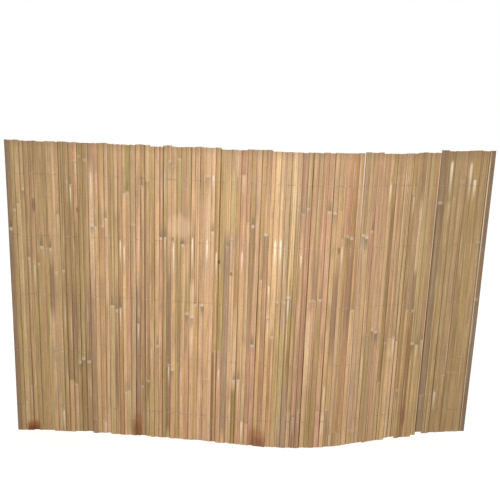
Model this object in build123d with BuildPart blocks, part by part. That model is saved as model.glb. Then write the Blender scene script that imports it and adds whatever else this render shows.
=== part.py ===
import math
import os
import random

from build123d import *

os.makedirs("parts", exist_ok=True)

# Whole screen, standing on its slat feet
screen_height = 1000.0
slat_pairs = 50

# Bends of four equal stretches of the mat, left to right: a positive radius swells toward the viewer
bow_radii = (-4350.0, -6150.0, 780.0, -1480.0)

# One slat split from a bamboo culm: rounded skin in front, flat back
slat_width = 14.64
slat_width_spread = 3.6
slat_thickness = 5.5
culm_radius = 38.0
edge_ease = 0.5

# Uneven cut ends: neighbours in a bundle end at like levels
bundle_slats = 7
foot_unevenness = 6.0
top_unevenness = 5.0
end_scatter = 2.0

# The last pairs at the right are wider and sit higher
raised_pairs = 4
raised_slat_width = 21.6
raised_by = 9.0

# Culm nodes: raised rings across the skin
internode = 680.0
lowest_node = 30.0
node_length = 12.0
node_rise = 0.9
node_peak = 0.35
node_scatter = 14.0
culm_slats = 3

# Binding wire: a strand in front and one behind, tied in the gap after each pair
wire_size = 0.8
wire_rows = 5
lowest_wire = 97.0
highest_wire_down = 107.0

# Clearances
pair_clearance = 0.25
tie_clearance = 0.15
strand_clearance = 0.3
node_to_wire = 2.0

# Lengths that follow from the sizes above
tie_gap = wire_size + 2 * tie_clearance
plain_pairs = slat_pairs - raised_pairs
slats_length = 2 * (plain_pairs * slat_width + raised_pairs * raised_slat_width)
mat_length = slats_length + slat_pairs * (pair_clearance + tie_gap)
half_thickness = slat_thickness / 2
strand_inside = half_thickness + strand_clearance
strand_outside = strand_inside + wire_size
wire_step = (screen_height - lowest_wire - highest_wire_down) / (wire_rows - 1)
wire_levels = [lowest_wire + row * wire_step for row in range(wire_rows)]

chance = random.Random(7)
slat_count = 2 * slat_pairs

# Slat widths vary; their sum keeps the length of the mat
drift = [chance.uniform(-1, 1) for slat in range(slat_count)]
mean_drift = sum(drift) / slat_count
usual_widths = [slat_width] * (2 * plain_pairs) + [raised_slat_width] * (2 * raised_pairs)
widths = [usual + slat_width_spread * (d - mean_drift) for usual, d in zip(usual_widths, drift)]

# Middles of the slats and of the ties, measured along the mat from its middle
slat_middles = []
tie_middles = [-mat_length / 2]
reach = -mat_length / 2
for pair in range(slat_pairs):
    first, second = widths[2 * pair], widths[2 * pair + 1]
    reach += tie_gap / 2 + first
    slat_middles.append(reach - first / 2)
    reach += pair_clearance + second
    slat_middles.append(reach - second / 2)
    reach += tie_gap / 2
    tie_middles.append(reach)


# Plan point and heading of the mat's middle line, followed from its left end
def follow(along):
    x, y, turn = 0.0, 0.0, 0.0
    to_go = along + mat_length / 2
    for place, radius in enumerate(bow_radii):
        last = place == len(bow_radii) - 1
        step = to_go if last else min(to_go, mat_length / len(bow_radii))
        next_turn = turn + step / radius
        x += radius * (math.sin(next_turn) - math.sin(turn))
        y += radius * (math.cos(turn) - math.cos(next_turn))
        turn = next_turn
        to_go -= step
    return x, y, turn


def bow_point(along, behind):
    x, y, turn = follow(along)
    return x - behind * math.sin(turn), y + behind * math.cos(turn)


# The plan is turned until both ends lie equally deep, then centred on the origin
left_end = bow_point(-mat_length / 2, 0)
right_end = bow_point(mat_length / 2, 0)
plan_turn = -math.atan2(right_end[1] - left_end[1], right_end[0] - left_end[0])


def turned(along, behind):
    x, y = bow_point(along, behind)
    c, s = math.cos(plan_turn), math.sin(plan_turn)
    return c * x - s * y, s * x + c * y


def heading(along):
    return follow(along)[2] + plan_turn


# Outside of a wire loop: bends at every tie and round both ends
bends = list(tie_middles)
bends[0] -= wire_size / 2
bends[-1] += wire_size / 2
loop_stations = [(along, -strand_outside) for along in bends]
loop_stations += [(along, strand_outside) for along in reversed(bends)]
loop_points = [turned(along, behind) for along, behind in loop_stations]
centre_x = (min(p[0] for p in loop_points) + max(p[0] for p in loop_points)) / 2
centre_y = (min(p[1] for p in loop_points) + max(p[1] for p in loop_points)) / 2


def plan(along, behind=0.0):
    x, y = turned(along, behind)
    return x - centre_x, y - centre_y


# Feet and tops of the slats: the first slat of every other bundle stands on the floor
feet = []
tops = []
bundle_stands = True
while len(feet) < slat_count:
    foot_level = 0.0 if bundle_stands else foot_unevenness * chance.random()
    top_level = screen_height - top_unevenness * chance.random()
    for place in range(chance.randint(2, bundle_slats)):
        lift = raised_by if len(feet) >= 2 * plain_pairs else 0.0
        foot_scatter = end_scatter * chance.random() if place else 0.0
        feet.append(lift + foot_level + foot_scatter)
        tops.append(lift + top_level - end_scatter * chance.random())
    bundle_stands = not bundle_stands

# Slats split from one culm lie side by side, so their nodes fall at like heights
node_levels = []
while len(node_levels) < slat_count:
    culm_node = lowest_node + internode * chance.random()
    for slat in range(chance.randint(1, culm_slats)):
        low = culm_node + chance.uniform(-node_scatter, node_scatter)
        node_levels.append([low, low + internode])


# A node keeps clear of the wires and of both cut ends
def clear_of_wires(level):
    room = node_length / 2 + wire_size / 2 + node_to_wire
    for wire in wire_levels:
        if abs(level - wire) < room:
            return wire + room if level > wire else wire - room
    return level


def nodes_on(slat):
    levels = [clear_of_wires(level) for level in node_levels[slat]]
    return [level for level in levels if feet[slat] + node_length < level < tops[slat] - node_length]


# Slats, two to a wire cell
for pair in range(slat_pairs):
    with BuildPart() as slat_pair:
        for slat in (2 * pair, 2 * pair + 1):
            along = slat_middles[slat]
            angle = heading(along)
            x, y = plan(along)
            across = (math.cos(angle), math.sin(angle), 0)
            foot = Plane(origin=(x, y, feet[slat]), x_dir=across, z_dir=(0, 0, 1))
            half_width = widths[slat] / 2
            half_skin = half_width - edge_ease
            shoulder = culm_radius - math.sqrt(culm_radius**2 - half_skin**2) - half_thickness
            with BuildSketch(foot):
                with BuildLine():
                    ThreePointArc((-half_skin, shoulder), (0, -half_thickness), (half_skin, shoulder))
                    Polyline(
                        (half_skin, shoulder),
                        (half_width, shoulder + edge_ease),
                        (half_width, half_thickness),
                        (-half_width, half_thickness),
                        (-half_width, shoulder + edge_ease),
                        (-half_skin, shoulder),
                    )
                make_face()
            extrude(amount=tops[slat] - feet[slat])

            # Node rings turn about the axis of the culm, behind the slat
            skin_turn = math.asin(half_skin / culm_radius)
            start = angle - math.pi / 2 - skin_turn
            core_x, core_y = plan(along, culm_radius - half_thickness)
            core = Axis((core_x, core_y, 0), (0, 0, 1))
            ring = Plane(
                origin=(core_x, core_y, 0),
                x_dir=(math.cos(start), math.sin(start), 0),
                z_dir=(math.sin(start), -math.cos(start), 0),
            )
            for level in nodes_on(slat):
                with BuildSketch(ring):
                    with BuildLine():
                        Polyline(
                            (culm_radius - node_rise / 2, level - node_length * node_peak),
                            (culm_radius + node_rise, level),
                            (culm_radius - node_rise / 2, level + node_length * (1 - node_peak)),
                            close=True,
                        )
                    make_face()
                revolve(axis=core, revolution_arc=math.degrees(2 * skin_turn))
    slat_pair.part.label = f"slat_pair_{pair + 1:02d}"
    export_step(slat_pair.part, f"parts/slat_pair_{pair + 1:02d}.step")

# Binding wires: a closed loop round the mat with a tie across it after every pair and at both ends
for row in range(wire_rows):
    with BuildPart() as binding_wire:
        with BuildSketch(Plane.XY.offset(wire_levels[row] - wire_size / 2)):
            with BuildLine():
                Polyline(*[plan(along, behind) for along, behind in loop_stations], close=True)
            make_face()
            for pair in range(slat_pairs):
                left = tie_middles[pair] + wire_size / 2
                right = tie_middles[pair + 1] - wire_size / 2
                with BuildLine():
                    Polyline(
                        plan(left, -strand_inside),
                        plan(right, -strand_inside),
                        plan(right, strand_inside),
                        plan(left, strand_inside),
                        close=True,
                    )
                make_face(mode=Mode.SUBTRACT)
        extrude(amount=wire_size)
    binding_wire.part.label = f"binding_wire_{row + 1}"
    export_step(binding_wire.part, f"parts/binding_wire_{row + 1}.step")
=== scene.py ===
import bpy
import math
import random
import numpy as np
from mathutils import Matrix, Vector


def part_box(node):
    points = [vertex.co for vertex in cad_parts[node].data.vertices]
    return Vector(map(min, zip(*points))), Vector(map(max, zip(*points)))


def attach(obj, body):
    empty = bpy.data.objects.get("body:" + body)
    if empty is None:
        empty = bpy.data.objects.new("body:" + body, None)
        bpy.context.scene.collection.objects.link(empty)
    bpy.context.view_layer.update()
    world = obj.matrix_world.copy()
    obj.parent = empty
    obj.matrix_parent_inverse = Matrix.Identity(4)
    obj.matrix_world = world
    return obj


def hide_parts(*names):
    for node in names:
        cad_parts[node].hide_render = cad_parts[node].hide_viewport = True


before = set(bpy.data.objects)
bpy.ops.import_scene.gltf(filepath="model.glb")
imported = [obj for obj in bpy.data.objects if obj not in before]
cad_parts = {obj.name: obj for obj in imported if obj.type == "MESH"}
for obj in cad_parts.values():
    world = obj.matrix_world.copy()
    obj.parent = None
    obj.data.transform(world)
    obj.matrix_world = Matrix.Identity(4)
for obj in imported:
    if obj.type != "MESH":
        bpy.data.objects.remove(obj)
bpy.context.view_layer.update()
slatNodes = sorted(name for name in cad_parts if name.startswith("slat_pair"))
wireNodes = sorted(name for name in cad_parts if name.startswith("binding_wire"))
print("frame loaded:", len(slatNodes), "slat pairs,", len(wireNodes), "wires")


def deselectAll():
    if bpy.context.object and bpy.context.object.mode != "OBJECT":
        bpy.ops.object.mode_set(mode="OBJECT")
    bpy.ops.object.select_all(action="DESELECT")


def makeActive(piece):
    deselectAll()
    piece.select_set(True)
    bpy.context.view_layer.objects.active = piece


def meshPoints(mesh):
    points = np.zeros(len(mesh.vertices) * 3, np.float32)
    mesh.vertices.foreach_get("co", points)
    return points.reshape(-1, 3).astype(float)


nearby = 1e-5  # metres within which two places count as one
ringStandsOut = 0.0005  # a ring's peak stands at least this far in front of the skin
ringsApart = 0.01


# Each slat of the frame is measured on a merged copy of its node, split into its loose parts
def measureSlat(points):
    foot, top = points[:, 2].min(), points[:, 2].max()
    plan = points[:, :2]
    spread = np.cov((plan - plan.mean(0)).T)
    across = np.linalg.eigh(spread)[1][:, 1]
    across = across if across[0] > 0 else -across
    front = np.array((across[1], -across[0]))  # the skin looks this way
    sideways, forward = plan @ across, plan @ front
    crown = forward[points[:, 2] < foot + nearby].max()
    rings = []
    for level in sorted(points[forward > crown + ringStandsOut, 2]):
        if not rings or level > rings[-1] + ringsApart:
            rings.append(float(level))
    return {
        "across": across, "front": front, "crown": crown, "back": forward.min(),
        "middle": (sideways.max() + sideways.min()) / 2, "width": sideways.max() - sideways.min(),
        "foot": foot, "top": top, "rings": rings,
    }


def measureNode(name):
    copy = bpy.data.objects.new("measured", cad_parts[name].data.copy())
    bpy.context.scene.collection.objects.link(copy)
    makeActive(copy)
    bpy.ops.object.mode_set(mode="EDIT")
    bpy.ops.mesh.select_all(action="SELECT")
    bpy.ops.mesh.remove_doubles(threshold=1e-6)
    bpy.ops.mesh.separate(type="LOOSE")
    bpy.ops.object.mode_set(mode="OBJECT")
    parts = list(bpy.context.selected_objects)
    found = [measureSlat(meshPoints(part.data)) for part in parts]
    for part in parts:
        bpy.data.meshes.remove(part.data)
    return sorted(found, key=lambda slat: slat["middle"])


slats = [slat for name in slatNodes for slat in measureNode(name)]
slatPlaces = []  # x of each slat's skin
for slat in slats:
    slatPlaces.append(float(slat["across"][0] * slat["middle"] + slat["front"][0] * slat["crown"]))
print("slats measured:", len(slats), "with", sum(len(slat["rings"]) for slat in slats), "node rings")

# One slat modelled once, then fitted to each place: a strip split from a culm
slatForm = {
    "width": 0.0152,
    "thickness": 0.0055,
    "length": 1.0,
    "shoulder": 0.0012,  # rounding where the skin turns into the split sides
    "backEase": 0.0004,
    "crown": 0.0008,
    "lipDepth": 0.08,  # share of the thickness in front of the middle where neighbours meet
    "ringLevels": (0.33, 0.67),  # where the master's two rings sit before they are moved
    "ringReach": 0.012,
    "ringSpread": (0.0021, 0.0038),  # half width of a ring below and above its peak
    "ringScar": (0.0045, 0.0014, 0.25),  # groove under it: how far down, half width, share of the rise
    "quarterRise": 0.75,  # share of the crown a quarter of the way across
    "smoothAngle": 38.0,  # degrees
    # crosswise cuts: about each ring, and along the rest of the length
    "ringSteps": (-0.0095, -0.0055, -0.0032, -0.0016, -0.0004, 0.0008, 0.0026, 0.0052, 0.009),
    "bodySteps": (0.008, 0.06, 0.13, 0.2, 0.27, 0.4, 0.47, 0.54, 0.6, 0.74, 0.81, 0.88, 0.94, 0.992),
}


def selectEdges(mesh, test):
    for group in (mesh.vertices, mesh.edges, mesh.polygons):
        group.foreach_set("select", [False] * len(group))
    for edge in mesh.edges:
        edge.select = all(test(mesh.vertices[i].co) for i in edge.vertices)


def editEdges(piece, test, operator, **settings):
    bpy.ops.object.mode_set(mode="EDIT")
    bpy.ops.mesh.select_mode(type="EDGE")
    bpy.ops.object.mode_set(mode="OBJECT")
    selectEdges(piece.data, test)
    bpy.ops.object.mode_set(mode="EDIT")
    operator(**settings)
    bpy.ops.object.mode_set(mode="OBJECT")


def cutThrough(at, normal):
    bpy.ops.object.mode_set(mode="EDIT")
    bpy.ops.mesh.select_all(action="SELECT")
    bpy.ops.mesh.bisect(plane_co=at, plane_no=normal)
    bpy.ops.object.mode_set(mode="OBJECT")


def modelMasterSlat(form):
    width, thickness, length = form["width"], form["thickness"], form["length"]
    side, back = width / 2 - nearby, thickness / 2 - nearby
    deselectAll()
    bpy.ops.mesh.primitive_cube_add(size=1, location=(0, 0, length / 2))
    slat = bpy.context.object
    slat.name = "slatMaster"
    slat.scale = (width, thickness, length)
    bpy.ops.object.transform_apply(location=True, rotation=False, scale=True)
    # long edges: a round shoulder at the skin, a small ease at the back
    for hand in (-1, 1):
        editEdges(slat, lambda p: p.y < 0 and hand * p.x > side, bpy.ops.mesh.bevel,
                  offset=form["shoulder"], segments=3, affect="EDGES")
        editEdges(slat, lambda p: p.y > back and hand * p.x > side, bpy.ops.mesh.bevel,
                  offset=form["backEase"], segments=1, affect="EDGES")
    # lengthwise lines carry the crown and the lip, crosswise ones the rings and the sway
    for share in (-0.25, 0.0, 0.25):
        cutThrough((share * width, 0, 0), (1, 0, 0))
    cutThrough((0, -form["lipDepth"] * thickness, 0), (0, 1, 0))
    steps = [level + step for level in form["ringLevels"] for step in form["ringSteps"]]
    for level in sorted([*form["bodySteps"], *steps]):
        cutThrough((0, 0, level * length), (0, 0, 1))
    for share, rise in ((0.25, form["quarterRise"]), (0.0, 1.0)):
        editEdges(slat, lambda p: p.y < -back and abs(abs(p.x) - share * width) < nearby,
                  bpy.ops.transform.translate, value=(0, -rise * form["crown"], 0))
    bpy.ops.object.shade_smooth_by_angle(angle=math.radians(form["smoothAngle"]))
    return slat


slatMaster = modelMasterSlat(slatForm)
print("master slat:", len(slatMaster.data.polygons), "faces")

# How the slats differ from each other
slatLook = {
    "seed": 734,
    "sway": 0.00035,  # slow sideways wander along the length
    "swell": 0.012,  # share by which the width comes and goes
    "twist": 0.05,  # turn of the skin about its own length, radians
    "waves": (5.1, 11.7, 7.3, 3.3),  # of the sway, its ripple, the swell and the twist, radians per metre
    "ripple": 0.6,  # share of the sway
    "lip": 0.0012,  # the split sides meet here, so little light comes through
    "pressed": (-0.0006, 0.0010),  # how far a side bulges towards its neighbour
    "setBack": 0.0008,  # a thinner slat's skin lies this much behind the frame's crown
    "toneSteps": (0.3, 0.5, 0.95),  # how far the tone changes at a node
    "toneBlend": 0.004,
    "accent": 0.85,  # share of an accent's tone on its slat
    "bleached": ((246, 211, 166), 0.46),  # the palest a tone gets, and how near it comes
    "darkened": ((116, 79, 46), 0.46),
    "ringRise": 0.0007,
    "cutTilt": 0.0012,
    "cutShare": 0.03,  # share of the length at each end that tilts with the cut
    # edge darkening: partly dirt, partly painted shade between the slats
    "edgeDarkening": (1.5, 1.3),  # on the split sides: the most, and how rare that is
    "fainterEdgesAtEnds": (-0.03, 0.62, 0.5),  # farther than this from this x, slats have this share of the edge darkening
    "bloom": (0.75, 5),  # cream below a node: the most, and how rare that is
    "nodeClear": (0.2, 1.0),  # some nodes are scraped nearly clean of their marks
    "smoothFrom": (0.615, 0.4),  # the wide slats at the right have faint nodes: x and their share
    "nodeHeights": (0.1, 0.3, 0.75, 0.9),  # the marks fade towards the floor and the top
    "nodeShares": (0.3, 1.0, 1.0, 0.5),
    "openGaps": {  # gaps that let light through: x, height from which it opens, width there and at the top
        "upper right": (0.340, 0.62, 0.0004, 0.0020),
    },
    "grainStep": 3.7,  # sets each slat's grain apart from its neighbour's
    "anywhere": 0.03,  # chance that a tone turns up far from where it is common
    "shadedSeams": {"seam": (0.606, 1.5), "last slat": (0.764, 1.0)},  # gaps painted dark as shade: x and the share of edge darkening there
    "evenEnds": {  # the ends of the screen are more even in colour: x, reach, share and tone
        "left": (-0.76, 0.20, 0.5, (182, 152, 106)),
        "right": (0.74, 0.20, 0.5, (170, 141, 100)),
    },
}

# Tones of split bamboo, sRGB, and where along the screen each is common: (middle, reach, weight)
slatTones = {
    "golden": ((208, 167, 113), (0.05, 0.5, 1.0)),
    "honey": ((196, 153, 101), (0.0, 0.6, 0.6)),
    "peach": ((224, 182, 142), (0.08, 0.4, 0.4)),
    "rose": ((200, 151, 121), (-0.1, 0.6, 0.64)),
    "salmon": ((208, 155, 119), (-0.3, 0.5, 0.34)),
    "olive": ((178, 151, 95), (-0.65, 0.5, 1.2)),
    "moss": ((186, 162, 96), (0.0, 0.8, 0.35)),
    "khaki": ((173, 144, 93), (0.7, 0.45, 0.9)),
    "mauve": ((164, 131, 104), (0.05, 0.8, 0.38)),
    "umber": ((152, 115, 76), (0.0, 0.7, 0.2)),
}

# Tones of the slats that stand out, sRGB
accentTones = {
    # rim: the outermost slats, partly their own darker tone and partly painted shade on the ends of the
    # screen
    "rim": (138, 111, 86),
    "dusky": (148, 116, 90),
    "dull": (164, 134, 106),
    "pale": (226, 190, 148),
    "mossy": (198, 172, 116),
    "salmon": (212, 162, 126),
    "drab": (150, 124, 93),
}

# Where they stand out: x, the heights between which they do, and their tone
slatAccents = {
    # partly painted shade on the outer slat at the left end
    "left rim": (-0.79, -1, 2, "rim"),
    "left dark": (-0.656, 0.43, 0.60, "dusky"),
    "peach top": (-0.56, 0.74, 2, "salmon"),
    "left dusky": (-0.585, 0.30, 0.53, "dusky"),
    "left pale": (-0.518, 0.48, 0.91, "pale"),
    "left dusky two": (-0.533, 0.30, 0.50, "dusky"),
    "left salmon": (-0.495, 0.80, 2, "salmon"),
    "left low": (-0.361, 0.10, 0.52, "dull"),
    "blotch dark": (-0.265, 0.05, 0.65, "dusky"),
    "blotch pale": (-0.195, 0.29, 0.54, "pale"),
    "centre pale": (-0.139, 0.59, 0.82, "pale"),
    "centre dull": (-0.087, 0.05, 0.72, "dull"),
    "centre moss": (-0.065, 0.75, 0.90, "mossy"),
    "centre low": (-0.045, 0.22, 0.45, "pale"),
    "middle moss": (0.099, 0.12, 0.41, "mossy"),
    "middle low": (0.118, -1, 0.24, "dull"),
    "right pale": (0.185, 0.27, 0.46, "pale"),
    "right dusky": (0.267, 0.40, 0.63, "dusky"),
    "right dusky two": (0.313, 0.36, 0.65, "dusky"),
    "right upper": (0.545, 0.62, 0.86, "pale"),
    "seam": (0.620, -1, 2, "drab"),
    # partly the last slat's own dark tone, partly painted shade
    "right rim": (0.79, -1, 2, "rim"),
}

# Cream streaks, each on the nearest slat: x, top and bottom height, half width, strength,
# and how far off the slat's middle, as a share of its half width
creamStreaks = {
    "left upper": (-0.513, 0.905, 0.76, 0.0030, 0.45, 0.0),
    "left pair a": (-0.427, 0.690, 0.60, 0.0022, 0.75, 0.0),
    "left pair b": (-0.408, 0.672, 0.57, 0.0020, 0.8, 0.0),
    "blotch a": (-0.251, 0.690, 0.54, 0.0024, 0.8, 0.0),
    "blotch b": (-0.194, 0.712, 0.58, 0.0026, 0.9, 0.0),
    "centre top": (-0.134, 0.912, 0.87, 0.0024, 0.75, 0.0),
    "centre a": (-0.150, 0.706, 0.60, 0.0028, 0.85, 0.0),
    "centre b": (-0.118, 0.668, 0.57, 0.0022, 0.75, 0.0),
    "centre low": (-0.100, 0.270, 0.18, 0.0026, 0.5, 0.0),
    "middle a": (-0.034, 0.674, 0.59, 0.0020, 0.85, 0.0),
    "middle b": (0.055, 0.570, 0.50, 0.0026, 0.65, 0.0),
    "middle c": (0.073, 0.718, 0.61, 0.0034, 0.95, 0.0),
    "middle d": (0.088, 0.722, 0.60, 0.0028, 0.95, 0.0),
    "middle e": (0.148, 0.674, 0.62, 0.0020, 0.8, 0.0),
    "right low": (0.251, 0.226, 0.10, 0.0025, 0.45, 0.0),
    "right a": (0.289, 0.703, 0.60, 0.0024, 0.65, 0.0),
    # painted light: a pale line along the open gap beside this slat
    "upper right": (0.332, 1.07, 0.50, 0.0015, 0.95, 0.86),
    "right top a": (0.643, 0.972, 0.84, 0.0050, 0.75, 0.1),
    "right top b": (0.709, 0.968, 0.82, 0.0050, 0.6, 0.2),
    # painted light: pale lines along the gap at the seam and beside the last slat, next to their painted
    # shade
    "seam": (0.600, 1.1, -1.2, 0.0012, 0.7, 0.66),
    "last slat": (0.775, 1.1, -0.8, 0.0014, 0.65, -0.7),
}


def linear(rgb):
    shares = [value / 255 for value in rgb]
    return np.array([s / 12.92 if s <= 0.04045 else ((s + 0.055) / 1.055) ** 2.4 for s in shares])


def hill(value, middle, reach):
    return np.exp(-(((value - middle) / reach) ** 2))


def pickTone(place, chance):
    weights = [w * hill(place, m, r) + slatLook["anywhere"] for rgb, (m, r, w) in slatTones.values()]
    rgb = chance.choices([tone[0] for tone in slatTones.values()], weights)[0]
    faded = chance.uniform(-1, 1)
    goal, most = slatLook["bleached"] if faded > 0 else slatLook["darkened"]
    tone = linear(rgb) + most * abs(faded) * (linear(goal) - linear(rgb))
    for x, reach, share, even in slatLook["evenEnds"].values():
        tone = tone + share * hill(place, x, reach) * (linear(even) - tone)
    return tone


def nearestSlat(x):
    return min(range(len(slats)), key=lambda number: abs(slatPlaces[number] - x))


def gapNear(x):
    middles = [(a + b) / 2 for a, b in zip(slatPlaces, slatPlaces[1:])]
    return min(range(len(middles)), key=lambda number: abs(middles[number] - x))


openGaps = {gapNear(gap[0]): gap for gap in slatLook["openGaps"].values()}
# painted shade in these gaps
shadedSeams = {gapNear(x): share for x, share in slatLook["shadedSeams"].values()}
streaks = {nearestSlat(streak[0]): streak for streak in creamStreaks.values()}
accents = {nearestSlat(accent[0]): accent for accent in slatAccents.values()}
splitSide = 0.49  # share of the width beyond which a point lies on a split side


# Level and rise of the master's two rings on this slat; a ring that it lacks stays flat
def ringsOf(slat):
    foot, top = slat["foot"], slat["top"]
    rings = []
    for upper, share in enumerate(slatForm["ringLevels"]):
        here = [level for level in slat["rings"] if (level > (foot + top) / 2) == bool(upper)]
        rings.append((here[0], 1.0) if here else (foot + share * (top - foot), 0.0))
    return rings


def heightsOf(slat, rings, along):
    reach = slatForm["ringReach"]
    before, after = [0.0], [slat["foot"]]
    for share, (level, rise) in zip(slatForm["ringLevels"], rings):
        before += [share - reach, share + reach]
        after += [level - reach, level + reach]
    return np.interp(along, before + [slatForm["length"]], after + [slat["top"]])


def sidewaysOf(number, side, depth, height, phase, pressed):
    look, slat = slatLook, slats[number]
    sway, ripple, swell = [np.sin(wave * height + start) for wave, start in zip(look["waves"], phase[:3])]
    across = side * slat["width"] * (1 + look["swell"] * swell)
    across = across + look["sway"] * (sway + look["ripple"] * ripple)
    onLip = (np.abs(side) > splitSide) & (np.abs(depth - slatForm["lipDepth"]) < 0.02)
    across = across + np.sign(side) * look["lip"] * onLip
    shoved = [0.0 if gap in openGaps else push for gap, push in zip((number - 1, number), pressed)]
    across = across + np.where(side < 0, -shoved[0], shoved[1]) * np.clip(2 * np.abs(side), 0, 1)
    for gap, away in ((number, -1), (number - 1, 1)):
        if gap in openGaps:
            x, start, low, high = openGaps[gap]
            opened = np.clip((height - start) / (slat["top"] - start), 0, 1)
            share = low + (high - low) * opened
            shut = look["lip"] * onLip * (np.sign(side) == -away) * (share > 0)
            across = across + away * (share / 2 * (opened > 0) + shut)
    return across


def ringHeight(offset):
    below, above = [hill(offset, 0, reach) for reach in slatForm["ringSpread"]]
    down, reach, share = slatForm["ringScar"]
    return np.where(offset < 0, below, above) - share * hill(offset, -down, reach)


def forwardOf(slat, rings, side, depth, across, height, phase, setBack):
    form, look = slatForm, slatLook
    flat = slat["crown"] - form["crown"] - setBack
    forward = slat["back"] + np.minimum(depth + 0.5, 1) * (flat - slat["back"])
    forward = forward + np.maximum(depth - 0.5, 0) * form["thickness"]
    skin = np.clip((depth - 0.05) / 0.3, 0, 1)  # 0 from the back to the middle, 1 at the skin
    twist = look["twist"] * np.sin(look["waves"][3] * height + phase[3])
    forward = forward + skin * across * twist * (np.abs(side) < splitSide)
    for level, rise in rings:
        forward = forward + skin * rise * look["ringRise"] * ringHeight(height - level)
    return forward


# The saw never cut quite square: each end slopes inwards from the frame's level
def sawnHeights(slat, side, height, chance):
    tilt, end = slatLook["cutTilt"], slatLook["cutShare"]
    share = (height - slat["foot"]) / (slat["top"] - slat["foot"])
    for atEnd, inwards in ((share > 1 - end, -1), (share < end, 1)):
        slope = chance.uniform(-tilt, tilt)
        height = height + np.where(atEnd, side * slope + inwards * abs(slope) / 2, 0)
    return height


# A tone for each length between nodes, with a second one for its streaks
def toneAlong(number, rings, height, chance):
    place = slatPlaces[number]
    tones = [pickTone(place, chance)]
    for level, rise in rings:
        fresh = pickTone(place, chance)
        share = chance.choice(slatLook["toneSteps"]) * rise
        tones.append(tones[-1] * (1 - share) + fresh * share)
    tone = np.tile(tones[0], (len(height), 1))
    for (level, rise), low, high in zip(rings, tones, tones[1:]):
        above = np.clip((height - level) / slatLook["toneBlend"] + 0.5, 0, 1)
        tone = tone + above[:, None] * (high - low)
    if number in accents:
        x, low, high, kind = accents[number]
        share = slatLook["accent"] * ((height > low) & (height < high))[:, None]
        tone = tone + share * (linear(accentTones[kind]) - tone)
    return tone


def markedAt(level):
    return np.interp(level, slatLook["nodeHeights"], slatLook["nodeShares"])


farOff = 9.0  # metres to a ring that a slat lacks
noStreak = (0.0, farOff, 0.0, 1.0, 0.0, 0.0)


def writeAttribute(mesh, name, kind, field, columns):
    attribute = mesh.attributes.new(name, kind, "POINT")
    size = len(mesh.vertices)
    values = np.column_stack([np.broadcast_to(column, size) for column in columns])
    attribute.data.foreach_set(field, values.astype(np.float32).ravel())


# Darkening of the left and right split side, partly dirt and partly painted shade where the slats meet
def edgeDarkeningOf(number, chance):
    most, rare = slatLook["edgeDarkening"]
    x, reach, share = slatLook["fainterEdgesAtEnds"]
    most = most * share if abs(slatPlaces[number] - x) > reach else most
    edgeDarkening = [most * chance.random() ** rare for edge in range(2)]
    return [shadedSeams.get(gap, share) for gap, share in zip((number - 1, number), edgeDarkening)]


def fitSlat(number, chance):
    slat = slats[number]
    mesh = slatMaster.data.copy()
    points = meshPoints(mesh)
    side = points[:, 0] / slatForm["width"]  # -0.5 to 0.5 across the slat
    depth = -points[:, 1] / slatForm["thickness"]  # -0.5 at the back to 0.5 at the skin, and the crown
    phase = [chance.uniform(0, 6.28) for wave in slatLook["waves"]]
    rings = ringsOf(slat)
    height = heightsOf(slat, rings, points[:, 2])
    pressed = [chance.uniform(*slatLook["pressed"]) for edge in range(2)]
    across = sidewaysOf(number, side, depth, height, phase, pressed)
    setBack = slatLook["setBack"] * chance.random()
    forward = forwardOf(slat, rings, side, depth, across, height, phase, setBack)
    offsets = [height - level if rise else farOff for level, rise in rings]
    tone = toneAlong(number, rings, height, chance)
    streak = toneAlong(number, rings, height, chance)
    # painted shade and dirt along the split sides
    edge = np.interp(side, (-0.5, 0.5), edgeDarkeningOf(number, chance))
    most, rare = slatLook["bloom"]
    bloom = [most * chance.random() ** rare for ring in rings]
    x, faint = slatLook["smoothFrom"]
    faint = faint if slatPlaces[number] > x else 1.0
    clear = [faint * chance.uniform(*slatLook["nodeClear"]) * markedAt(level) for level, rise in rings]
    smudgeSide = chance.choice((-1.0, 1.0))
    height = sawnHeights(slat, side, height, chance)
    plan = np.outer(slat["middle"] + across, slat["across"]) + np.outer(forward, slat["front"])
    mesh.vertices.foreach_set("co", np.column_stack((plan, height)).astype(np.float32).ravel())
    writeAttribute(mesh, "skinTone", "FLOAT_COLOR", "color", [*tone.T, 1.0])
    writeAttribute(mesh, "streakTone", "FLOAT_COLOR", "color", [*streak.T, 1.0])
    ownGrain = slatLook["grainStep"] * number
    writeAttribute(mesh, "slatGrain", "FLOAT_VECTOR", "vector", [across, height, ownGrain])
    writeAttribute(mesh, "nodeOffsets", "FLOAT_VECTOR", "vector", [*offsets, edge])
    writeAttribute(mesh, "slatMarks", "FLOAT_VECTOR", "vector", [2 * side, *bloom])
    writeAttribute(mesh, "nodeMarks", "FLOAT_VECTOR", "vector", [*clear, smudgeSide])
    x, high, low, half, strength, aside = streaks.get(number, noStreak)
    along = (height - low) / (high - low)
    beside = (across - aside * slat["width"] / 2) / half
    writeAttribute(mesh, "creamStreak", "FLOAT_VECTOR", "vector", [along, beside, strength])
    return mesh


def dressPair(index, name, finish, chance):
    halves = []
    for number in (2 * index, 2 * index + 1):
        half = bpy.data.objects.new("slats_%02d" % (index + 1), fitSlat(number, chance))
        bpy.context.scene.collection.objects.link(half)
        halves.append(half)
    makeActive(halves[0])
    halves[1].select_set(True)
    bpy.ops.object.join()
    piece = halves[0]
    piece.data.materials.append(finish)
    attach(piece, "root")
    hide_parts(name)


# Shorthands for building node trees
def newFinish(name):
    finish = bpy.data.materials.new(name)
    finish.use_nodes = True
    finish.node_tree.nodes.clear()
    return finish, finish.node_tree


def put(tree, kind, inputs=(), **settings):
    node = tree.nodes.new(kind)
    for key, value in settings.items():
        setattr(node, key, value)
    for key, value in dict(inputs).items():
        if isinstance(value, bpy.types.NodeSocket):
            tree.links.new(value, node.inputs[key])
        else:
            node.inputs[key].default_value = value
    return node


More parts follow.
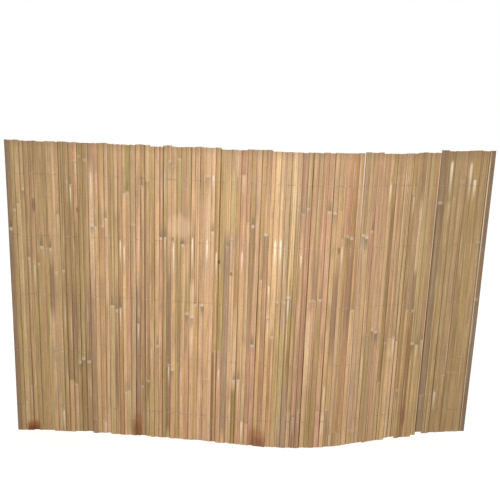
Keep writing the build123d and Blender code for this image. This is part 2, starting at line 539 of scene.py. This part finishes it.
def readAttribute(tree, name, output):
    return put(tree, "ShaderNodeAttribute", attribute_name=name).outputs[output]


def splitUp(tree, vector):
    return put(tree, "ShaderNodeSeparateXYZ", {0: vector}).outputs


def calc(tree, operation, first, second=0.0):
    return put(tree, "ShaderNodeMath", {0: first, 1: second}, operation=operation).outputs[0]


def times(tree, first, *others):
    for other in others:
        first = calc(tree, "MULTIPLY", first, other)
    return first


def stretch(tree, vector, scale):
    return put(tree, "ShaderNodeVectorMath", {0: vector, 1: scale}, operation="MULTIPLY").outputs[0]


def noise(tree, vector, detail=3.0, roughness=0.55, scale=1.0):
    inputs = {"Vector": vector, "Scale": scale, "Detail": detail, "Roughness": roughness}
    return put(tree, "ShaderNodeTexNoise", inputs).outputs["Fac"]


# Rises smoothly from toLow to toHigh, or falls where low is the larger
def ramp(tree, value, low, high, toLow=0.0, toHigh=1.0):
    if low > high:
        low, high, toLow, toHigh = high, low, toHigh, toLow
    inputs = {"Value": value, "From Min": low, "From Max": high, "To Min": toLow, "To Max": toHigh}
    return put(tree, "ShaderNodeMapRange", inputs, interpolation_type="SMOOTHSTEP").outputs[0]


def colourMix(tree, kind, share, base, over):
    node = put(tree, "ShaderNodeMix", {0: share, 6: base, 7: over}, data_type="RGBA", blend_type=kind)
    return node.outputs[2]


def shade(tree, colour, light):
    grey = put(tree, "ShaderNodeCombineColor", {0: light, 1: light, 2: light}).outputs[0]
    return colourMix(tree, "MULTIPLY", 1.0, colour, grey)


def rgba(rgb):
    return (*linear(rgb), 1.0)


def paint(tree, share, base, rgb):
    return colourMix(tree, "MIX", share, base, rgba(rgb))


# Bamboo: waxy skin streaked along the fibre, scarred nodes, split edges darkened by dirt and painted shade,
# bare back and ends
bambooFinish = {
    "fibre": (900.0, 4.0, 1.0),  # repeats per metre across and along the slat
    "streak": (240.0, 1.6, 1.0),
    "patch": (90.0, 9.0, 1.0),
    "shine": (380.0, 4.0, 1.0),
    "crack": (520.0, 2.0, 1.0),
    "fleck": (420.0, 150.0, 1.0),
    "haze": (55.0, 7.0, 1.0),
    "hazeGrey": (152, 129, 98),
    "fibreShade": (0.80, 1.16),  # darkest and palest that a pattern makes the skin
    "patchShade": (0.87, 1.11),
    "fleckShade": (0.91, 1.09),
    "hazeMost": 0.45,  # most of its own colour that a pattern lays on the skin
    "crackMost": 0.7,
    "shineMost": 0.5,
    "topMost": 0.35,
    "pithMost": 0.5,
    "nodeFray": 0.014,  # how ragged the marks at a node are, metres
    "smudgeReach": 0.055,
    "smudgeMost": 0.75,
    "bloomReach": 0.09,
    "callusMost": 0.75,
    "scarAway": 0.0055,  # from the middle of the ring
    "scarMost": 0.6,
    "backScarMost": 0.45,
    "markAside": 0.35,  # how far off the slat's middle the marks lie, share of its half width
    "bump": (0.35, 0.0004),  # strength, and depth in metres
    "specular": 0.35,
    "edgeBrown": (112, 74, 42),
    "scarBrown": (98, 78, 52),
    "smudgeOlive": (112, 97, 70),
    "nodePale": (218, 198, 174),
    "cream": (255, 236, 206),
    "backPale": (214, 182, 136),
    "pith": (232, 210, 172),
    "cutDots": 1400.0,  # fibre ends per metre on the sawn ends
    "cutPale": (206, 176, 132),
    "stainBrown": (150, 92, 48),
    "stainDark": (66, 40, 24),
    "topGrey": (132, 106, 82),
    "bruise": (98, 76, 50),
    "blotchPink": (232, 193, 158),
    "roughness": (0.42, 0.62),
}

# Weathering by place: middle x and z, half sizes in metres, strength
footStains = {
    "left": (-0.730, 0.012, 0.022, 0.020, 0.95),
    "second": (-0.369, 0.036, 0.018, 0.036, 0.6),
    "middle": (0.034, 0.022, 0.028, 0.034, 0.6),
    "right": (0.546, 0.105, 0.010, 0.045, 0.35),
}
bruises = {
    "left": (-0.699, 0.793, 0.007, 0.022, 0.6),
    "peach foot": (-0.561, 0.782, 0.005, 0.010, 0.5),
    "under blotch": (-0.253, 0.703, 0.005, 0.009, 0.5),
    "centre": (-0.105, 0.636, 0.005, 0.007, 0.75),
    "centre low": (-0.065, 0.599, 0.005, 0.007, 0.65),
    "right": (0.274, 0.687, 0.004, 0.012, 0.65),
}
paleBlotch = (-0.231, 0.743, 0.038, 0.042, 0.8)


def spotShare(tree, place, wobble, spot):
    x, z, halfX, halfZ, strength = spot
    moved = put(tree, "ShaderNodeVectorMath", {0: place, 1: (x, 0, z)}, operation="SUBTRACT").outputs[0]
    scaled = stretch(tree, moved, (1 / halfX, 0, 1 / halfZ))
    far = put(tree, "ShaderNodeVectorMath", {0: scaled}, operation="LENGTH").outputs["Value"]
    return ramp(tree, calc(tree, "ADD", far, wobble), 1.2, 0.5, 0.0, strength)


# Brightest just under its top, then fading downwards
def streakShare(tree, wobble):
    streak = splitUp(tree, readAttribute(tree, "creamStreak", "Vector"))
    narrow = ramp(tree, calc(tree, "ABSOLUTE", streak["Y"]), 1.3, 0.5)
    ragged = calc(tree, "ADD", streak["X"], times(tree, wobble, 0.2))
    pointed = calc(tree, "ADD", streak["X"], times(tree, streak["Y"], streak["Y"], 0.09))
    fade = times(tree, ramp(tree, ragged, 0.0, 0.9), ramp(tree, pointed, 1.04, 0.94))
    return times(tree, narrow, fade, streak["Z"])


def skinColour(tree, look, grain, noises):
    fibre, streak, patch = noises
    main = readAttribute(tree, "skinTone", "Color")
    second = readAttribute(tree, "streakTone", "Color")
    colour = colourMix(tree, "MIX", ramp(tree, streak, 0.42, 0.58), main, second)
    fleck = noise(tree, stretch(tree, grain, look["fleck"]), detail=2.0)
    for pattern, shades in ((fibre, "fibreShade"), (patch, "patchShade"), (fleck, "fleckShade")):
        colour = shade(tree, colour, ramp(tree, pattern, 0.3, 0.7, *look[shades]))
    haze = noise(tree, stretch(tree, grain, look["haze"]), detail=4.0, roughness=0.65)
    colour = paint(tree, ramp(tree, haze, 0.52, 0.7, 0.0, look["hazeMost"]), colour, look["hazeGrey"])
    crack = noise(tree, stretch(tree, grain, look["crack"]), detail=2.0)
    colour = paint(tree, ramp(tree, crack, 0.58, 0.7, 0.0, look["crackMost"]), colour, look["edgeBrown"])
    shine = noise(tree, stretch(tree, grain, look["shine"]), detail=2.0)
    return paint(tree, ramp(tree, shine, 0.62, 0.76, 0.0, look["shineMost"]), colour, look["cream"])


# Darker along the split edges and more so near the floor: partly dirt, partly painted shade in the gaps
# between the slats
def addEdgeDirtAndShade(tree, look, colour, across, edgeShare, height, patch):
    edge = ramp(tree, calc(tree, "ABSOLUTE", across), 0.70, 0.97)
    low = ramp(tree, height, 0.8, 0.15, 0.65, 0.92)
    broken = ramp(tree, patch, 0.32, 0.62, 0.3, 1.0)
    return paint(tree, times(tree, edge, edgeShare, low, broken), colour, look["edgeBrown"])


# A node: pale callus on the ring, thin scar and dark smudge to one side, sometimes a cream bloom below
def addNode(tree, look, colour, offset, bloom, clear, smudgeSide, aside, fibre):
    fray = times(tree, calc(tree, "SUBTRACT", fibre, 0.5), look["nodeFray"])
    ragged = calc(tree, "ADD", offset, fray)
    smudged = times(tree, offset, smudgeSide)
    frayed = times(tree, ragged, smudgeSide)
    centred = times(tree, ramp(tree, aside, 0.95, 0.35), clear)
    smudge = times(tree, ramp(tree, frayed, look["smudgeReach"], 0.003), ramp(tree, smudged, 0.0, 0.004))
    colour = paint(tree, times(tree, smudge, centred, look["smudgeMost"]), colour, look["smudgeOlive"])
    fade = times(tree, ramp(tree, ragged, -look["bloomReach"], -0.006), ramp(tree, offset, -0.004, -0.006))
    colour = paint(tree, times(tree, fade, ramp(tree, aside, 0.5, 0.2), bloom), colour, look["cream"])
    callus = times(tree, ramp(tree, ragged, -0.009, -0.002), ramp(tree, ragged, 0.008, 0.001))
    colour = paint(tree, times(tree, callus, centred, look["callusMost"]), colour, look["nodePale"])
    away = calc(tree, "ABSOLUTE", calc(tree, "SUBTRACT", smudged, look["scarAway"]))
    broken = ramp(tree, fibre, 0.35, 0.6, 0.1, look["scarMost"])
    scar = times(tree, ramp(tree, away, 0.0024, 0.0006), broken, centred)
    return paint(tree, scar, colour, look["scarBrown"])


def addPlacedMarks(tree, look, colour, place, patch, fibre):
    wobble = times(tree, calc(tree, "SUBTRACT", patch, 0.5), 1.4)
    # the cream streaks include painted light along three gaps
    colour = paint(tree, streakShare(tree, wobble), colour, look["cream"])
    blotch = times(tree, spotShare(tree, place, wobble, paleBlotch), ramp(tree, fibre, 0.38, 0.6, 0.2, 1.0))
    colour = paint(tree, blotch, colour, look["blotchPink"])
    for bruise in bruises.values():
        colour = paint(tree, spotShare(tree, place, wobble, bruise), colour, look["bruise"])
    aged = calc(tree, "ADD", splitUp(tree, place)["Z"], times(tree, wobble, 0.02))
    colour = paint(tree, ramp(tree, aged, 0.965, 1.0, 0.0, look["topMost"]), colour, look["topGrey"])
    for x, z, halfX, halfZ, strength in footStains.values():
        soaked = spotShare(tree, place, wobble, (x, z, 1.3 * halfX, 1.5 * halfZ, strength))
        colour = paint(tree, soaked, colour, look["stainBrown"])
        drip = spotShare(tree, place, wobble, (x, z - halfZ / 2, halfX, halfZ, strength))
        colour = paint(tree, times(tree, drip, ramp(tree, fibre, 0.35, 0.6)), colour, look["stainDark"])
    return colour


# Split back and sawn ends show bare fibre; the back has a thin dark line behind each node
def addBare(tree, look, colour, place, facing, fibre, patch, nodeAway):
    own = readAttribute(tree, "streakTone", "Color")
    bare = colourMix(tree, "MIX", 0.5, rgba(look["backPale"]), own)
    bare = shade(tree, bare, ramp(tree, fibre, 0.25, 0.75, 0.62, 1.12))
    bare = paint(tree, ramp(tree, patch, 0.5, 0.72, 0.0, look["pithMost"]), bare, look["pith"])
    nodeLine = ramp(tree, nodeAway, 0.003, 0.0008, 0.0, look["backScarMost"])
    bare = paint(tree, nodeLine, bare, look["scarBrown"])
    colour = colourMix(tree, "MIX", ramp(tree, facing["Y"], 0.2, 0.6), colour, bare)
    dots = noise(tree, place, detail=2.0, scale=look["cutDots"])
    sawn = paint(tree, ramp(tree, dots, 0.5, 0.62), rgba(look["cutPale"]), look["edgeBrown"])
    return colourMix(tree, "MIX", ramp(tree, calc(tree, "ABSOLUTE", facing["Z"]), 0.6, 0.85), colour, sawn)


def makeBamboo(look):
    finish, tree = newFinish("splitBamboo")
    grain = readAttribute(tree, "slatGrain", "Vector")
    marks = splitUp(tree, readAttribute(tree, "slatMarks", "Vector"))
    offsets = splitUp(tree, readAttribute(tree, "nodeOffsets", "Vector"))
    coords = put(tree, "ShaderNodeTexCoord").outputs
    place, facing = coords["Object"], splitUp(tree, coords["Normal"])
    fibre = noise(tree, stretch(tree, grain, look["fibre"]), detail=4.0, roughness=0.6)
    streak = noise(tree, stretch(tree, grain, look["streak"]), detail=2.0)
    patch = noise(tree, stretch(tree, grain, look["patch"]), detail=4.0)
    # node marks sit a little off the middle of each slat
    shift = times(tree, calc(tree, "SINE", splitUp(tree, grain)["Z"]), look["markAside"])
    aside = calc(tree, "ABSOLUTE", calc(tree, "ADD", marks["X"], shift))

    colour = skinColour(tree, look, grain, (fibre, streak, patch))
    # dirt and painted shade along the split edges
    colour = addEdgeDirtAndShade(tree, look, colour, marks["X"], offsets["Z"], splitUp(tree, place)["Z"], patch)
    clear = splitUp(tree, readAttribute(tree, "nodeMarks", "Vector"))
    for ring, bloom in (("X", marks["Y"]), ("Y", marks["Z"])):
        colour = addNode(tree, look, colour, offsets[ring], bloom, clear[ring], clear["Z"], aside, fibre)
    colour = addPlacedMarks(tree, look, colour, place, patch, fibre)
    nodeAway = calc(tree, "MINIMUM", *[calc(tree, "ABSOLUTE", offsets[axis]) for axis in "XY"])
    colour = addBare(tree, look, colour, place, facing, fibre, patch, nodeAway)

    rough = ramp(tree, patch, 0.3, 0.7, *look["roughness"])
    strength, deep = look["bump"]
    bump = put(tree, "ShaderNodeBump", {"Height": fibre, "Strength": strength, "Distance": deep}).outputs[0]
    skin = put(tree, "ShaderNodeBsdfPrincipled", {"Base Color": colour, "Roughness": rough, "Normal": bump})
    skin.inputs["Specular IOR Level"].default_value = look["specular"]
    put(tree, "ShaderNodeOutputMaterial", {"Surface": skin.outputs[0]})
    return finish


bamboo = makeBamboo(bambooFinish)
slatChance = random.Random(slatLook["seed"])
for index, name in enumerate(slatNodes):
    dressPair(index, name, bamboo, slatChance)
bpy.data.objects.remove(slatMaster)
print("slats dressed:", len(slatNodes), "pairs")

# Binding wire: two strands a row, which change sides in the gap after each pair
wireForm = {
    "radius": 0.00036,
    "clear": 0.00012,  # room between wire and slat
    "intoGap": 0.00055,  # from the side of a slat to the middle of the gap
    "crossing": 0.0006,  # the strands pass above and below each other in the gap
    "hug": 0.0005,  # how far the wire sinks towards the slat's shoulders
    "sides": 1,  # steps that round the wire's section
    "shoulderShare": 0.34,  # share of the slat's width at which the wire leaves its crown
}

wireLook = {
    "zinc": (196, 188, 174),
    "dull": (122, 104, 84),
    "roughness": (0.32, 0.6),
    "metallic": 0.8,
    "spots": 70.0,  # dull spots per metre
}


def inGap(slat, sideways, level):
    depth = (slat["crown"] + slat["back"]) / 2
    spot = slat["across"] * (slat["middle"] + sideways) + slat["front"] * depth
    return (*spot, level)


def overSlat(slat, inFront, level):
    out = wireForm["radius"] + wireForm["clear"]
    points = []
    edge = wireForm["shoulderShare"]
    for share in (-edge, 0.0, edge):
        depth = slat["crown"] + out if inFront else slat["back"] - out
        depth -= wireForm["hug"] if share and inFront else 0.0
        spot = slat["across"] * (slat["middle"] + share * slat["width"]) + slat["front"] * depth
        points.append((*spot, level))
    return points


def strandPoints(level, inFront):
    points = []
    for first, second in zip(slats[::2], slats[1::2]):
        rise = wireForm["crossing"] * (1 if inFront else -1)
        points.append(inGap(first, -first["width"] / 2 - wireForm["intoGap"], level + rise))
        points += overSlat(first, inFront, level) + overSlat(second, inFront, level)
        inFront = not inFront
    last = slats[-1]
    rise = wireForm["crossing"] * (1 if inFront else -1)
    points.append(inGap(last, last["width"] / 2 + wireForm["intoGap"], level + rise))
    return points


def layStrand(name, points):
    curve = bpy.data.curves.new(name, "CURVE")
    curve.dimensions = "3D"
    curve.bevel_depth = wireForm["radius"]
    curve.bevel_resolution = wireForm["sides"]
    curve.use_fill_caps = True
    spline = curve.splines.new("POLY")
    spline.points.add(len(points) - 1)
    for point, spot in zip(spline.points, points):
        point.co = (*spot, 1.0)
    strand = bpy.data.objects.new(name, curve)
    bpy.context.scene.collection.objects.link(strand)
    makeActive(strand)
    bpy.ops.object.convert(target="MESH")
    return bpy.context.object


def bindRow(number, name, finish):
    low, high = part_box(name)
    level = (low.z + high.z) / 2
    strands = [layStrand("wire_row_%d" % number, strandPoints(level, side)) for side in (True, False)]
    makeActive(strands[0])
    strands[1].select_set(True)
    bpy.ops.object.join()
    bpy.ops.object.shade_smooth()
    wire = strands[0]
    wire.data.materials.append(finish)
    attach(wire, "root")
    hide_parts(name)


def makeZinc(look):
    finish, tree = newFinish("galvanisedWire")
    place = put(tree, "ShaderNodeTexCoord").outputs["Object"]
    spots = noise(tree, place, detail=3.0, scale=look["spots"])
    colour = paint(tree, ramp(tree, spots, 0.40, 0.6), rgba(look["zinc"]), look["dull"])
    rough = ramp(tree, spots, 0.3, 0.7, *look["roughness"])
    shell = put(tree, "ShaderNodeBsdfPrincipled", {"Base Color": colour, "Roughness": rough})
    shell.inputs["Metallic"].default_value = look["metallic"]
    put(tree, "ShaderNodeOutputMaterial", {"Surface": shell.outputs[0]})
    return finish


zinc = makeZinc(wireLook)
for number, name in enumerate(wireNodes, 1):
    bindRow(number, name, zinc)
print("wires laid:", len(wireNodes), "rows")

# Studio: pale floor, white surround, a soft lamp near the camera and one for the back of the screen
studio = {
    "floorSize": 24.0,
    "floorGlow": (0.7, 0.78),  # less round the screen, so its shadow shows
    "glowReach": (0.9, 2.4),  # metres from the middle
    "floorGrey": 0.5,
    "surround": 0.5,
    "lamps": {  # place, aim, size in metres, power in watts
        "frontLamp": ((0.0, -1.9, 1.1), (0.02, 0.0, 0.5), 0.9, 26.5),
        "backLamp": ((-0.6, 2.1, 1.4), (0.0, 0.0, 0.55), 1.2, 24.0),
    },
}


# 1 for what the camera sees directly, mirrored or through glass, so the surround is white there
def seenRays(tree):
    path = put(tree, "ShaderNodeLightPath").outputs
    seen = calc(tree, "MAXIMUM", path["Is Camera Ray"], path["Is Glossy Ray"])
    return calc(tree, "MAXIMUM", seen, path["Is Transmission Ray"])


def layFloor(look):
    deselectAll()
    bpy.ops.mesh.primitive_grid_add(x_subdivisions=4, y_subdivisions=4, size=look["floorSize"])
    floor = bpy.context.object
    floor.name = "studioFloor"
    finish, tree = newFinish("paleFloor")
    matte = put(tree, "ShaderNodeBsdfDiffuse", {"Color": (look["floorGrey"],) * 3 + (1,)})
    place = put(tree, "ShaderNodeTexCoord").outputs["Object"]
    far = put(tree, "ShaderNodeVectorMath", {0: place}, operation="LENGTH").outputs["Value"]
    strength = times(tree, seenRays(tree), ramp(tree, far, *look["glowReach"], *look["floorGlow"]))
    glow = put(tree, "ShaderNodeEmission", {"Strength": strength})
    both = put(tree, "ShaderNodeAddShader", {0: matte.outputs[0], 1: glow.outputs[0]})
    put(tree, "ShaderNodeOutputMaterial", {"Surface": both.outputs[0]})
    floor.data.materials.append(finish)


def lightStudio(look):
    world = bpy.data.worlds.new("whiteSurround")
    bpy.context.scene.world = world
    world.use_nodes = True
    tree = world.node_tree
    tree.nodes.clear()
    strength = ramp(tree, seenRays(tree), 0.0, 1.0, look["surround"], 1.0)
    surround = put(tree, "ShaderNodeBackground", {"Color": (1, 1, 1, 1), "Strength": strength})
    put(tree, "ShaderNodeOutputWorld", {"Surface": surround.outputs[0]})
    for name, (place, aim, size, power) in look["lamps"].items():
        lamp = bpy.data.lights.new(name, "AREA")
        lamp.size, lamp.energy = size, power
        holder = bpy.data.objects.new(name, lamp)
        bpy.context.scene.collection.objects.link(holder)
        holder.location = place
        holder.rotation_euler = (Vector(aim) - Vector(place)).to_track_quat("-Z", "Y").to_euler()


# Camera at the photograph's place and angle: metres and radians, lens in millimetres
photoView = {
    "place": (-0.1159, -2.1837, 1.2094),
    "turn": -0.0504,
    "down": 0.2409,
    "tilt": 0.0341,
    "lens": 50.4,
    "sensor": 36.0,
}


def placeCamera(look):
    data = bpy.data.cameras.new("photoView")
    data.lens, data.sensor_width = look["lens"], look["sensor"]
    camera = bpy.data.objects.new("photoView", data)
    bpy.context.scene.collection.objects.link(camera)
    upright = Matrix.Rotation(look["turn"], 3, "Z") @ Matrix.Rotation(math.pi / 2 - look["down"], 3, "X")
    camera.rotation_euler = (upright @ Matrix.Rotation(look["tilt"], 3, "Z")).to_euler()
    camera.location = look["place"]
    bpy.context.scene.camera = camera


layFloor(studio)
lightStudio(studio)
placeCamera(photoView)
bpy.context.scene.view_settings.view_transform = "Standard"
print("studio ready")
